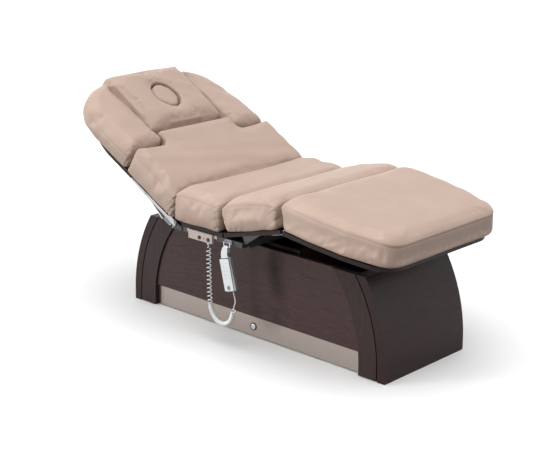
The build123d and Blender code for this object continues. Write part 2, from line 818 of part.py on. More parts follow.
# plates under the thigh board: a gusset on each pin, a triangular plate with a bolt at each
# side, and the pair of cranks that the leg actuator pushes
gusset_inner = rail_outer - rail_width - 2 * ear - gap
leg_crank_reach = 60.0
with BuildPart() as thigh_gussets:
    for y_way in (-1, 1):
        with BuildSketch(side(thigh_hinge, thigh_angle, 1, y_way * gusset_inner)):
            with BuildLine():
                Polyline(
                    (-7, 0), (0, -thigh_ear_radius), (12, section_low - 2), (96, section_low - 2),
                    (96, section_low),
                    (15, section_low), (7, 0), close=True,
                )
            make_face()
            Circle(thigh_ear_radius)
            Circle(thigh_pin_radius + pin_clearance, mode=Mode.SUBTRACT)
        extrude(amount=-y_way * ear)
        with BuildSketch(side(thigh_hinge, thigh_angle, 1, y_way * (board_half_width - 3))):
            with BuildLine():
                Polyline((108, section_low), (112, -38), (122, -38), (204, section_low), close=True)
            make_face()
        extrude(amount=-y_way * 3)
        with BuildSketch(side(thigh_hinge, thigh_angle, 1, y_way * board_half_width)):
            with Locations((117, -32)):
                Circle(4)
        extrude(amount=-y_way * 2)
    for cheek in (-1, 1):
        with BuildSketch(side(thigh_hinge, thigh_angle, 1, -actuator_y + cheek * (crank_gap / 2 + 2))):
            with BuildLine():
                Polyline(
                    (4, section_low), (46, section_low), (11, -leg_crank_reach), (-11, -leg_crank_reach),
                    close=True,
                )
            make_face()
            with Locations((0, -leg_crank_reach)):
                Circle(11)
                Circle(5, mode=Mode.SUBTRACT)
        extrude(amount=2, both=True)
finish(thigh_gussets, "thigh_gussets")

# ---------------------------------------------------------------- leg section
leg_outline = ((0, 407), (150, 403), (300, 390), (400, 368))
foot_half_width = 300.0
foot_corner = 96.0
foot_board_corner = 130.0
leg_crown = 8.0


def leg_sketch(start, inset, corner):
    """Plan of the leg section, drawn in to a depth from its outline, with rounded foot corners."""
    with BuildSketch() as outline:
        with BuildLine():
            half = [(max(start, x), y - inset) for x, y in leg_outline]
            far_side = [(x, -y) for x, y in reversed(half)]
            Polyline(
                *half, (leg_length - inset, foot_half_width + 36 - inset),
                (leg_length - inset, -foot_half_width - 36 + inset), *far_side, close=True,
            )
        make_face()
        fillet(outline.vertices().group_by(Axis.X)[-1], radius=corner - inset)
    return outline.sketch


with BuildPart() as leg_board:
    with BuildSketch(plan(knee_hinge, leg_angle, 1, section_low)):
        add(leg_sketch(8.0, 12.0, foot_board_corner))
    extrude(amount=section_high - section_low)
finish(leg_board, "leg_board")

with BuildPart() as leg_cushion:
    with BuildSketch(plan(knee_hinge, leg_angle, 1, section_high)):
        add(leg_sketch(2.0, 0.0, foot_corner))
    extrude(amount=cushion_high + leg_crown - section_high)
    with BuildSketch(side(knee_hinge, leg_angle, 1)):
        with BuildLine():
            Polyline(
                (2, section_high), (3, cushion_high - 4), (34, cushion_high + leg_crown),
                (leg_length - 90, cushion_high + leg_crown), (leg_length - 12, cushion_high - 2),
                (leg_length, cushion_high - 24), (leg_length, section_high), close=True,
            )
        make_face()
    extrude(amount=section_half_width, both=True, mode=Mode.INTERSECT)
finish(leg_cushion, "leg_cushion")


# ---------------------------------------------------------------- actuators
def actuator(name, anchor, tip):
    """A linear actuator from its fixed pivot to its free eye, as a body and a rod."""
    run = tip - anchor
    length = run.length
    along = run.normalized()
    across = Plane(origin=anchor, x_dir=along, z_dir=(0, -1, 0))
    with BuildPart() as body:
        with BuildSketch(Plane(origin=anchor + along * 26, z_dir=along)):
            Circle(14)
        extrude(amount=length - 96)
        with BuildSketch(Plane(origin=anchor + along * 26, z_dir=along)):
            Circle(8.5)
        extrude(amount=length, mode=Mode.SUBTRACT)
        with BuildSketch(across):
            with Locations((16, 0)):
                Rectangle(34, 20)
            Circle(10)
            Circle(clevis_pin_radius + pin_clearance, mode=Mode.SUBTRACT)
        extrude(amount=7, both=True)
        with BuildSketch(across):
            with Locations((54, -14)):
                Rectangle(56, 22)
        extrude(amount=13, both=True)
        with BuildSketch(Plane(origin=anchor + along * 34, z_dir=along)):
            Circle(8.5)
        extrude(amount=length, mode=Mode.SUBTRACT)
    finish(body, name)
    with BuildPart() as rod:
        with BuildSketch(Plane(origin=anchor + along * 90, z_dir=along)):
            Circle(8)
        extrude(amount=length - 90 - 8)
        with BuildSketch(Plane(origin=tip, x_dir=along, z_dir=(0, -1, 0))):
            with Locations((-6, 0)):
                Rectangle(12, 16)
            Circle(9)
            Circle(5, mode=Mode.SUBTRACT)
        extrude(amount=5, both=True)
    finish(rod, f"{name}_rod")


back_anchor = Vector(back_clevis_x, actuator_y, clevis_z)
back_tip = back_hinge + normal_of(back_angle, -1) * -crank_reach + Vector(0, actuator_y, 0)
leg_anchor = Vector(leg_clevis_x, -actuator_y, clevis_z)
leg_tip = thigh_hinge + normal_of(thigh_angle, 1) * -leg_crank_reach + Vector(0, -actuator_y, 0)
actuator("back_actuator", back_anchor, back_tip)
actuator("leg_actuator", leg_anchor, leg_tip)

# ---------------------------------------------------------------- handset and its cord
handset_tilt = 17.0
handset_top = Vector(base_x - 4.0, 0, 380.0)
handset_front = rail_outer + 20.0
handset_length = 138.0
handset_top_width, handset_low_width = 56.0, 51.0
shell_depth = 9.0
rim_depth = 4.0
down = Vector(sin(radians(handset_tilt)), 0, -cos(radians(handset_tilt)))
across_handset = Vector(cos(radians(handset_tilt)), 0, sin(radians(handset_tilt)))


def handset_plane(y):
    return Plane(origin=handset_top + Vector(0, -y, 0), x_dir=across_handset, z_dir=(0, -1, 0))


def handset_sketch(inset):
    with BuildSketch() as outline:
        with BuildLine():
            Polyline(
                (inset - handset_top_width / 2, -inset), (handset_top_width / 2 - inset, -inset),
                (handset_low_width / 2 - inset, inset - handset_length),
                (inset - handset_low_width / 2, inset - handset_length), close=True,
            )
        make_face()
        fillet(outline.vertices(), radius=7 - inset)
    return outline.sketch


key_radius = 6.0
key_place = (0.0, -handset_length + 18.0)
with BuildPart() as handset_shell:
    with BuildSketch(handset_plane(handset_front - shell_depth)):
        add(handset_sketch(0.0))
    extrude(amount=shell_depth)
    fillet(handset_shell.faces().sort_by(Axis.Y)[0].outer_wire().edges(), radius=2.5)
    with BuildSketch(handset_plane(handset_front)):
        with Locations(key_place):
            Circle(key_radius + 0.4)
    extrude(amount=-5.0, mode=Mode.SUBTRACT)
finish(handset_shell, "handset_shell")

with BuildPart() as handset_rim:
    with BuildSketch(handset_plane(handset_front - shell_depth - rim_depth)):
        add(handset_sketch(0.8))
    extrude(amount=rim_depth)
finish(handset_rim, "handset_rim")

hook_width = 16.0
hook_wall = 3.0
hook_tip = 404.0
with BuildPart() as handset_back:
    with BuildSketch(handset_plane(handset_front - shell_depth - rim_depth)):
        add(handset_sketch(0.0))
    extrude(amount=-shell_depth)
    fillet(handset_back.faces().sort_by(Axis.Y)[-1].outer_wire().edges(), radius=3)
finish(handset_back, "handset_back")

# strap that rises from the handset's front shell and folds back over the hanger's wire
hook_top = wire_low + wire_radius
with BuildPart() as handset_hook:
    with BuildSketch(Plane.YZ.offset(hanger_x - hook_width / 2)):
        with BuildLine():
            wire_gap = 4.0
            inner_low, inner_high = wire_y - wire_gap, wire_y + wire_gap
            Line((inner_low, 396), (inner_low, hook_top - wire_gap))
            ThreePointArc(
                (inner_low, hook_top - wire_gap), (wire_y, hook_top), (inner_high, hook_top - wire_gap)
            )
            Line((inner_high, hook_top - wire_gap), (inner_high, hook_tip))
            Line((inner_high, hook_tip), (inner_high + hook_wall, hook_tip))
            Line((inner_high + hook_wall, hook_tip), (inner_high + hook_wall, hook_top - wire_gap))
            ThreePointArc(
                (inner_high + hook_wall, hook_top - wire_gap),
                (wire_y, hook_top + hook_wall),
                (inner_low - hook_wall, hook_top - wire_gap),
            )
            Line((inner_low - hook_wall, hook_top - wire_gap), (inner_low - hook_wall, 396))
            Line((inner_low - hook_wall, 396), (inner_low, 396))
        make_face()
    extrude(amount=hook_width)
    with BuildSketch(Plane.XZ.offset(-inner_low)):
        with BuildLine():
            edge = [handset_top + across_handset * x for x in (8, 26)]
            Polyline(
                (edge[0].X, edge[0].Z), (edge[1].X, edge[1].Z),
                (hanger_x + hook_width / 2, 396.5), (hanger_x - hook_width / 2, 396.5), close=True,
            )
        make_face()
    extrude(amount=hook_wall)
finish(handset_hook, "handset_hook")

with BuildPart() as handset_key:
    with BuildSketch(handset_plane(handset_front - 3.5)):
        with Locations(key_place):
            Circle(key_radius)
    extrude(amount=4.7)
finish(handset_key, "handset_key")

# curly cord: one fat tube of the coil's outer diameter, and the plain lead into the handset
coil_radius = 10.5
lead_radius = 2.5
coil_points = [
    (-103, 0, 411.5), (-99, 0, 196), (-90, 0, 140), (-66, 0, 104), (-28, 0, 90), (8, 0, 102),
    (32, 0, 134), (38, 0, 172),
]
lead_points = [(38.1, 0, 172.6), (41, 0, 186), (47, 0, 200), (46.5, 0, 215), (41, 0, 229)]


def corner_radii(points):
    """Largest radius at each corner: 0.45 of its shorter run over the tangent of half the turn."""
    radii = []
    for before, corner, after in zip(points, points[1:], points[2:]):
        run_in, run_out = corner - before, after - corner
        half_turn = radians(run_in.get_angle(run_out)) / 2
        radii.append(0.45 * min(run_in.length, run_out.length) / tan(half_turn))
    return radii


def cord_tube(name, points, radius):
    radii = corner_radii(points)
    with BuildPart() as tube:
        with BuildLine() as path:
            FilletPolyline(*points, radius=radii)
        with BuildSketch(Plane(origin=path.line @ 0, z_dir=path.line % 0)):
            Circle(radius)
        sweep()
    length = path.wire().length
    expected = pi * radius**2 * length
    print(name, "length", round(length, 1), "volume / expected", round(tube.part.volume / expected, 4))
    print("  radii", [round(value) for value in radii])
    finish(tube, name)


handset_exit = handset_top + down * (handset_length + gap) + Vector(0, cord_y, 0)
coil_route = [Vector(base_x + x, cord_y + y, z) for x, y, z in coil_points]
lead_route = [Vector(base_x + x, cord_y + y, z) for x, y, z in lead_points] + [handset_exit]
cord_tube("curly_cord", coil_route, coil_radius)
cord_tube("cord_lead", lead_route, lead_radius)
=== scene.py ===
"""Looks of a facial treatment bed: upholstery, wood, metal, handset and cord, round the CAD frame.

Metres. +X points to the foot end, -Y to the operator's side (the near side), +Z up.
"""
import json
import math
import bmesh
import bpy
import numpy as np
from mathutils import Matrix, Vector


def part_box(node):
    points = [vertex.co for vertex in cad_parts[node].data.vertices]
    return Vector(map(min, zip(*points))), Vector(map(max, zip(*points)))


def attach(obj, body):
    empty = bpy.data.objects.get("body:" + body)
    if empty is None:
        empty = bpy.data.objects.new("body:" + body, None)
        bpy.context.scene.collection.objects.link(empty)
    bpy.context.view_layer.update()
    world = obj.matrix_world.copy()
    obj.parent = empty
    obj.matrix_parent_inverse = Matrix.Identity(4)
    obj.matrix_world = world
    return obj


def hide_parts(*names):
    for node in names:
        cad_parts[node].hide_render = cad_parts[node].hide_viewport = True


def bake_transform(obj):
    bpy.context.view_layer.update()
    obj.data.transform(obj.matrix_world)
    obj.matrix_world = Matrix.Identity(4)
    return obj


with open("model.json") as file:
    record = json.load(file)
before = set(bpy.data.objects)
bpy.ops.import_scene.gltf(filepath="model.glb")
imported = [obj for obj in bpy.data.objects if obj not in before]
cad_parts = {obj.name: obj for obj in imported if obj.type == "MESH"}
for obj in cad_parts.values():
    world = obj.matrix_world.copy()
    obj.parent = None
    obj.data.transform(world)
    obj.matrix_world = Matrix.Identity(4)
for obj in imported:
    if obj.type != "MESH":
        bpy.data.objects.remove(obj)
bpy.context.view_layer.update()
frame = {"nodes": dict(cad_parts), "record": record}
nodes = frame["nodes"]
scene = bpy.context.scene
scene.view_settings.view_transform = "Standard"
scene.view_settings.look = "None"


# ---------------------------------------------------------------- places taken from the frame
def middle(node):
    low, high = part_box(node)
    return (low + high) / 2


BASE_X = middle("floor_rails").x
HINGE_Z = 0.464
BACK_HINGE = Vector((BASE_X - 0.303, 0, HINGE_Z))
BACK_ANGLE = 28.7
HEAD_ALONG = 0.420
HEAD_ANGLE = 31.2
THIGH_HINGE = Vector((BASE_X - 0.020, 0, 0.467))
THIGH_ANGLE = 14.2
KNEE_ALONG = 0.322
LEG_ANGLE = -8.0


class Section:
    """A hinged section's own axes: s along it, v across the bed (row Y), w up its normal."""

    def __init__(self, origin, angle, way):
        a = math.radians(angle)
        self.origin = Vector(origin)
        self.along = Vector((way * math.cos(a), 0, math.sin(a)))
        self.normal = Vector((-way * math.sin(a), 0, math.cos(a)))

    def point(self, s, v, w):
        return self.origin + self.along * s + self.normal * w + Vector((0, v, 0))

    def world(self, local):
        """Row-frame points of an array of (s, v, w)."""
        across = np.array((0.0, 1.0, 0.0))
        return (
            np.array(self.origin)
            + local[:, :1] * np.array(self.along)
            + local[:, 1:2] * across
            + local[:, 2:3] * np.array(self.normal)
        )


SEAT = Section((BASE_X, 0, 0), 0, 1)
BACK = Section(BACK_HINGE, BACK_ANGLE, -1)
HEAD = Section(BACK.point(HEAD_ALONG, 0, 0), HEAD_ANGLE, -1)
THIGH = Section(THIGH_HINGE, THIGH_ANGLE, 1)
LEG = Section(THIGH.point(KNEE_ALONG, 0, 0), LEG_ANGLE, 1)


# ---------------------------------------------------------------- camera, floor and light
def aim(location, azimuth, elevation, roll):
    """Rotation matrix of a camera that looks back along a direction, rolled about it."""
    a, e, r = (math.radians(value) for value in (azimuth, elevation, roll))
    back = Vector((math.sin(a) * math.cos(e), -math.cos(a) * math.cos(e), math.sin(e)))
    right = Vector((math.cos(a), math.sin(a), 0))
    up = back.cross(right)
    right, up = (
        math.cos(r) * right + math.sin(r) * up,
        math.cos(r) * up - math.sin(r) * right,
    )
    matrix = Matrix((right, up, back)).transposed().to_4x4()
    matrix.translation = location
    return matrix


camera_data = bpy.data.cameras.new("camera")
camera_data.lens = 89.04
camera_data.sensor_width = 36.0
camera = bpy.data.objects.new("camera", camera_data)
scene.collection.objects.link(camera)
camera.matrix_world = aim(Vector((BASE_X + 3.613, -4.049, 2.053)), 42.52, 16.64, 0.56)
camera_data.clip_end = 50.0
scene.camera = camera


def sun(name, towards_light, spread, irradiance):
    """A distant soft light; irradiance is in units that turn a white surface facing it white."""
    data = bpy.data.lights.new(name, "SUN")
    data.angle = math.radians(spread)
    data.energy = math.pi * irradiance
    lamp = bpy.data.objects.new(name, data)
    scene.collection.objects.link(lamp)
    lamp.rotation_mode = "QUATERNION"
    lamp.rotation_quaternion = Vector(towards_light).to_track_quat("Z", "Y")


sun("overhead", (0.02, -0.12, 1.0), 80, 1.14)
sun("key", (-0.60, -0.78, 0.15), 14, 0.62)

world = bpy.data.worlds.new("studio")
scene.world = world
world.use_nodes = True
world.node_tree.nodes["Background"].inputs["Color"].default_value = (1, 1, 1, 1)
world.node_tree.nodes["Background"].inputs["Strength"].default_value = 0.36


# ---------------------------------------------------------------- materials
class Mat:
    """A material under construction: a Principled shader and short ways to add nodes."""

    def __init__(self, name, colour, roughness, metallic=0.0):
        self.material = bpy.data.materials.new(name)
        self.material.use_nodes = True
        self.tree = self.material.node_tree
        self.shader = self.tree.nodes["Principled BSDF"]
        self.set("Base Color", (*colour, 1))
        self.set("Roughness", roughness)
        self.set("Metallic", metallic)

    def set(self, socket, value):
        self.shader.inputs[socket].default_value = value

    def node(self, kind, **values):
        made = self.tree.nodes.new(kind)
        for key, value in values.items():
            if key in made.inputs:
                made.inputs[key].default_value = value
            else:
                setattr(made, key, value)
        return made

    def link(self, source, target):
        self.tree.links.new(source, target)

    def coordinates(self, scale, attribute=None):
        """Object coordinates (or a stored rest position), stretched by a scale."""
        if attribute:
            source = self.node("ShaderNodeAttribute", attribute_name=attribute).outputs["Vector"]
        else:
            source = self.node("ShaderNodeTexCoord").outputs["Object"]
        mapping = self.node("ShaderNodeMapping")
        mapping.inputs["Scale"].default_value = scale
        self.link(source, mapping.inputs["Vector"])
        return mapping.outputs["Vector"]

    def noise(self, vector, scale, detail=4.0, roughness=0.55, distortion=0.0):
        made = self.node("ShaderNodeTexNoise")
        made.inputs["Scale"].default_value = scale
        made.inputs["Detail"].default_value = detail
        made.inputs["Roughness"].default_value = roughness
        made.inputs["Distortion"].default_value = distortion
        self.link(vector, made.inputs["Vector"])
        return made.outputs["Fac"]

    def ramp(self, value, stops):
        made = self.node("ShaderNodeValToRGB")
        elements = made.color_ramp.elements
        while len(elements) < len(stops):
            elements.new(0.5)
        for element, (place, colour) in zip(elements, stops):
            element.position = place
            element.color = (*colour, 1)
        self.link(value, made.inputs["Fac"])
        return made.outputs["Color"]

    def maths(self, operation, a, b=None, clamp=False):
        made = self.node("ShaderNodeMath", operation=operation, use_clamp=clamp)
        for socket, value in zip(made.inputs, (a, b)):
            if value is None:
                continue
            if isinstance(value, (int, float)):
                socket.default_value = value
            else:
                self.link(value, socket)
        return made.outputs[0]

    def mix(self, factor, a, b):
        made = self.node("ShaderNodeMix", data_type="RGBA")
        for socket, value in ((made.inputs[0], factor), (made.inputs[6], a), (made.inputs[7], b)):
            if isinstance(value, (int, float)):
                socket.default_value = value
            elif isinstance(value, tuple):
                socket.default_value = (*value, 1)
            else:
                self.link(value, socket)
        return made.outputs[2]

    def colour(self, socket):
        self.link(socket, self.shader.inputs["Base Color"])

    def roughness(self, value, low, high):
        made = self.node("ShaderNodeMapRange")
        made.inputs["To Min"].default_value = low
        made.inputs["To Max"].default_value = high
        self.link(value, made.inputs["Value"])
        self.link(made.outputs["Result"], self.shader.inputs["Roughness"])

    def bump(self, heights):
        """Chained bumps, from (height, distance in metres) pairs."""
        normal = None
        for height, distance in heights:
            made = self.node("ShaderNodeBump")
            made.inputs["Strength"].default_value = 1.0
            made.inputs["Distance"].default_value = distance
            self.link(height, made.inputs["Height"])
            if normal:
                self.link(normal, made.inputs["Normal"])
            normal = made.outputs["Normal"]
        self.link(normal, self.shader.inputs["Normal"])


SEAM_LINE, SEAM_LINE_SHARE = 0.0016, 0.38


def leather(name, colour, shade):
    """Matt upholstery leather with a fine grain, soft mottling and dark sewn seams."""
    m = Mat(name, colour, 0.55)
    rest = m.coordinates((1, 1, 1), "rest")
    mottle = m.noise(rest, 7.0, 3.0)
    base = m.ramp(mottle, ((0.3, shade), (0.72, colour)))
    seam = m.node("ShaderNodeAttribute", attribute_name="seam").outputs["Fac"]
    far = m.maths("ABSOLUTE", seam)
    line = m.maths("SUBTRACT", 1.0, m.maths("DIVIDE", far, SEAM_LINE), clamp=True)
    m.colour(m.mix(m.maths("MULTIPLY", line, SEAM_LINE_SHARE), base, tuple(value * 0.35 for value in colour)))
    grain = m.node("ShaderNodeTexVoronoi")
    grain.inputs["Scale"].default_value = 620.0
    m.link(rest, grain.inputs["Vector"])
    fine = m.noise(rest, 900.0, 2.0)
    m.bump((
        (m.noise(rest, 14.0, 3.0), 0.0018),
        (grain.outputs["Distance"], 0.00022),
        (fine, 0.00012),
    ))
    m.roughness(m.noise(rest, 24.0), 0.48, 0.62)
    m.set("Specular IOR Level", 0.26)
    m.set("Sheen Weight", 0.05)
    m.set("Sheen Roughness", 0.5)
    return m.material


def wood(name, dark, light, streak, along, gloss):
    """Dark open-grained veneer; along is the stretch of the grain on each axis."""
    m = Mat(name, dark, gloss)
    place = m.coordinates(along)
    broad = m.noise(place, 9.0, 5.0, 0.6, 0.6)
    fine = m.noise(place, 62.0, 6.0, 0.7, 0.2)
    pores = m.noise(place, 190.0, 3.0, 0.8)
    base = m.ramp(broad, ((0.32, dark), (0.55, light), (0.7, dark)))
    lined = m.mix(m.maths("MULTIPLY", fine, 0.85), base, tuple(value * 0.45 for value in dark))
    figure = m.ramp(m.noise(place, 24.0, 4.0, 0.65, 1.2), ((0.58, (0, 0, 0)), (0.74, (1, 1, 1))))
    m.colour(m.mix(m.maths("MULTIPLY", figure, 0.5), lined, streak))
    m.bump(((pores, 0.0002), (fine, 0.00025)))
    m.roughness(fine, gloss - 0.06, gloss + 0.1)
    m.set("Specular IOR Level", 0.14)
    m.set("Coat Weight", 0.03)
    m.set("Coat Roughness", 0.15)
    return m.material


def metal(name, colour, roughness, brushed=None):
    m = Mat(name, colour, roughness, 1.0)
    place = m.coordinates(brushed or (1, 1, 1))
    lines = m.noise(place, 260.0 if brushed else 40.0, 4.0, 0.7)
    m.roughness(lines, max(0.05, roughness - 0.08), roughness + 0.1)
    m.bump(((lines, 0.00006 if brushed else 0.00002),))
    tone = tuple(value * 0.86 for value in colour)
    m.colour(m.ramp(lines, ((0.3, tone), (0.7, colour))))
    return m.material


PLASTIC_GRAIN = 0.00008


def plastic(name, colour, roughness):
    m = Mat(name, colour, roughness)
    place = m.coordinates((1, 1, 1))
    fine = m.noise(place, 700.0, 2.0)
    cloud = m.noise(place, 14.0, 3.0)
    tone = tuple(value * 0.9 for value in colour)
    m.colour(m.ramp(cloud, ((0.3, tone), (0.7, colour))))
    m.bump(((fine, PLASTIC_GRAIN),))
    m.roughness(cloud, max(0.05, roughness - 0.05), roughness + 0.06)
    return m.material


TAUPE = leather("taupe_leather", (0.425, 0.314, 0.257), (0.398, 0.290, 0.235))
END_WOOD = wood(
    "end_wood", (0.024, 0.011, 0.010), (0.038, 0.018, 0.016), (0.060, 0.029, 0.026), (9, 1, 9), 0.34,
)
LEG_WOOD = wood(
    "leg_wood", (0.030, 0.017, 0.016), (0.048, 0.028, 0.027), (0.066, 0.036, 0.034), (9, 9, 0.8), 0.36,
)
PANEL_WOOD = wood(
    "panel_wood", (0.048, 0.026, 0.026), (0.078, 0.043, 0.041), (0.160, 0.070, 0.058), (1, 9, 9), 0.3,
)
EDGE_WOOD = wood(
    "edge_wood", (0.020, 0.011, 0.010), (0.032, 0.018, 0.017), (0.042, 0.026, 0.024), (1, 1, 30), 0.45,
)
CHAMPAGNE = metal("champagne_metal", (0.305, 0.262, 0.238), 0.42, (2, 60, 60))
BEIGE = plastic("beige_metal", (0.46, 0.375, 0.325), 0.38)
STEEL = metal("bright_steel", (0.40, 0.40, 0.41), 0.34, (6, 6, 60))
CHROME = metal("chrome", (0.85, 0.85, 0.86), 0.1)
BLACK_STEEL = plastic("black_steel", (0.012, 0.010, 0.010), 0.42)
BLACK = plastic("black_plastic", (0.012, 0.012, 0.013), 0.5)
DARK = plastic("dark_plastic", (0.03, 0.03, 0.033), 0.3)
GREY = plastic("grey_plastic", (0.20, 0.20, 0.21), 0.42)
WHITE = plastic("white_plastic", (0.70, 0.72, 0.72), 0.3)
WHITE_RUBBER = plastic("white_rubber", (0.74, 0.75, 0.75), 0.45)
RUBBER = plastic("rubber", (0.02, 0.02, 0.02), 0.75)
RED = plastic("red_lamp", (0.6, 0.01, 0.008), 0.2)
BY_SLOT = {
    "taupe_leather": TAUPE, "end_wood": END_WOOD, "leg_wood": LEG_WOOD, "panel_wood": PANEL_WOOD,
    "edge_wood": EDGE_WOOD, "champagne_metal": CHAMPAGNE, "beige_metal": BEIGE, "bright_steel": STEEL,
    "chrome": CHROME, "black_steel": BLACK_STEEL, "black_plastic": BLACK, "dark_plastic": DARK,
    "grey_plastic": GREY, "white_plastic": WHITE, "white_rubber": WHITE_RUBBER, "rubber": RUBBER,
    "red_lamp": RED,
}
for subpart in frame["record"]["subparts"]:
    shown = nodes[subpart["node"]]
    shown.data.materials.clear()
    shown.data.materials.append(BY_SLOT[subpart["material_slot"]])


# ---------------------------------------------------------------- pieces
def new_object(name, vertices, faces, material, smooth=True):
    mesh = bpy.data.meshes.new(name)
    mesh.from_pydata([tuple(v) for v in vertices], [], faces)
    mesh.materials.append(material)
    if smooth:
        mesh.shade_smooth()
    made = bpy.data.objects.new(name, mesh)
    scene.collection.objects.link(made)
    return made


def stage_material(name, colour, glow=0.0):
    m = Mat(name, colour, 0.8)
    m.set("Specular IOR Level", 0.1)
    place = m.coordinates((1, 1, 1))
    near_tone = tuple(value * 0.985 for value in colour)
    m.colour(m.ramp(m.noise(place, 2.0), ((0.3, near_tone), (0.7, colour))))
    if glow:
        m.set("Emission Color", (1, 1, 1, 1))
        m.set("Emission Strength", glow)
    return m.material


STAGE = 28.0                   # half size of the floor, and the backdrop's radius
floor = new_object(
    "studio_floor",
    [(-STAGE, -STAGE, 0), (STAGE, -STAGE, 0), (STAGE, STAGE, 0), (-STAGE, STAGE, 0)],
    [(0, 1, 2, 3)],
    stage_material("studio_floor", (0.80, 0.80, 0.80)),
    smooth=False,
)
WALL_SIDES, WALL_HEIGHT = 96, 16.0
WALL_RADIUS = STAGE * 0.98
wall_turn = [2 * math.pi * k / WALL_SIDES for k in range(WALL_SIDES)]
wall = new_object(
    "studio_wall",
    [(WALL_RADIUS * math.cos(t), WALL_RADIUS * math.sin(t), z) for z in (0, WALL_HEIGHT) for t in wall_turn],
    [
        (k, k + WALL_SIDES, (k + 1) % WALL_SIDES + WALL_SIDES, (k + 1) % WALL_SIDES)
        for k in range(WALL_SIDES)
    ],
    stage_material("studio_wall", (0.6, 0.6, 0.6), 0.9),
)
for backdrop in (floor, wall):
    # the light round the bed comes from the world alone, not from the backdrop
    backdrop.visible_diffuse = False
    backdrop.visible_shadow = False


# ---------------------------------------------------------------- shapes
def rounded(corners, radius, steps=6):
    """Outline with its corners rounded; a corner may carry its own radius as a third number."""
    out = []
    count = len(corners)
    for i, corner in enumerate(corners):
        r = corner[2] if len(corner) > 2 else radius
        here = np.array(corner[:2])
        before = np.array(corners[i - 1][:2]) - here
        after = np.array(corners[(i + 1) % count][:2]) - here
        lengths = np.linalg.norm(before), np.linalg.norm(after)
        before, after = before / lengths[0], after / lengths[1]
        half = math.acos(max(-1, min(1, before.dot(after)))) / 2
        cut = min(r / math.tan(half), 0.48 * min(lengths)) if half < 1.56 else 0
        if cut < 1e-6:
            out.append(here)
            continue
        for t in np.linspace(0, 1, steps + 1):
            a, b = here + before * cut * (1 - t), here + after * cut * t
            out.append(a * (1 - t) + b * t)
    return np.array(out)


def prism(outline, levels):
    """Stacked copies of an outline, each drawn in by an amount at a height, closed at both ends."""
    ahead = np.roll(outline, -1, axis=0) - np.roll(outline, 1, axis=0)
    inward = np.stack((-ahead[:, 1], ahead[:, 0]), axis=1)
    inward /= np.linalg.norm(inward, axis=1)[:, None]
    x, y = outline.T
    area = 0.5 * (x * np.roll(y, -1) - y * np.roll(x, -1)).sum()
    if area < 0:
        inward = -inward
    count = len(outline)
    vertices, faces = [], []
    for height, inset in levels:
        for point in outline + inward * inset:
            vertices.append((point[0], point[1], height))
    for level in range(len(levels) - 1):
        for k in range(count):
            a, b = level * count + k, level * count + (k + 1) % count
            faces.append((a, b, b + count, a + count))
    faces.append(tuple(reversed(range(count))))
    faces.append(tuple(range(len(vertices) - count, len(vertices))))
    if area < 0:
        faces = [tuple(reversed(face)) for face in faces]
    return vertices, faces


def coordinates_of(mesh):
    co = np.zeros(len(mesh.vertices) * 3)
    mesh.vertices.foreach_get("co", co)
    return co.reshape(-1, 3)


def set_coordinates(mesh, co):
    mesh.vertices.foreach_set("co", np.ascontiguousarray(co, np.float32).ravel())
    mesh.update()


def normals_of(mesh):
    normals = np.zeros(len(mesh.vertices) * 3, np.float32)
    mesh.vertex_normals.foreach_get("vector", normals)
    return normals.reshape(-1, 3).astype(float)


def applied(obj):
    """The object's mesh with its modifiers applied, which are then removed."""
    bpy.context.view_layer.update()
    mesh = bpy.data.meshes.new_from_object(obj.evaluated_get(bpy.context.evaluated_depsgraph_get()))
    old = obj.data
    obj.modifiers.clear()
    obj.data = mesh
    bpy.data.meshes.remove(old)
    return mesh


def relax(mesh, rounds):
    """Evens a mesh out: each round moves every point half way to its neighbours' middle."""
    made = bmesh.new()
    made.from_mesh(mesh)
    for _ in range(rounds):
        bmesh.ops.smooth_vert(
            made, verts=made.verts, factor=0.5, use_axis_x=True, use_axis_y=True, use_axis_z=True
        )
    made.to_mesh(mesh)
    made.free()


# ---------------------------------------------------------------- cord
CORD_Y = -0.390
COIL_ROUTE = (
    (-0.103, 0.4115), (-0.099, 0.196), (-0.090, 0.140), (-0.066, 0.104),
    (-0.028, 0.090), (0.008, 0.102), (0.032, 0.134), (0.038, 0.172),
)
LEAD_ROUTE = (
    (0.0381, 0.1726), (0.041, 0.186), (0.047, 0.200), (0.0465, 0.215), (0.041, 0.229), (0.0363, 0.2480),
)


def spline_points(route, steps):
    """Points read from the smooth spline through the route's control points."""
    curve = bpy.data.curves.new("route", "CURVE")
    curve.dimensions = "3D"
    curve.resolution_u = steps
    spline = curve.splines.new("NURBS")
    spline.points.add(len(route) - 1)
    for point, (x, z) in zip(spline.points, route):
        point.co = (BASE_X + x, CORD_Y, z, 1)
    spline.order_u = 3
    spline.use_endpoint_u = True
    holder = bpy.data.objects.new("route", curve)
    scene.collection.objects.link(holder)
    bpy.context.view_layer.update()
    mesh = bpy.data.meshes.new_from_object(holder.evaluated_get(bpy.context.evaluated_depsgraph_get()))
    points = np.array([v.co for v in mesh.vertices], float)
    bpy.data.objects.remove(holder)
    bpy.data.curves.remove(curve)
    bpy.data.meshes.remove(mesh)
    return points


def at_distances(points, distances):
    """Places on a chain of points at distances along it."""
    steps = np.linalg.norm(np.diff(points, axis=0), axis=1)
    run = np.concatenate(([0], np.cumsum(steps)))
    return np.stack([np.interp(distances, run, points[:, axis]) for axis in range(3)], axis=1), run[-1]


def thinned(points, least):
    """The chain without points that crowd the one before."""
    kept = [points[0]]
    for point in points[1:]:
        if np.linalg.norm(point - kept[-1]) > least:
            kept.append(point)
    return np.array(kept)


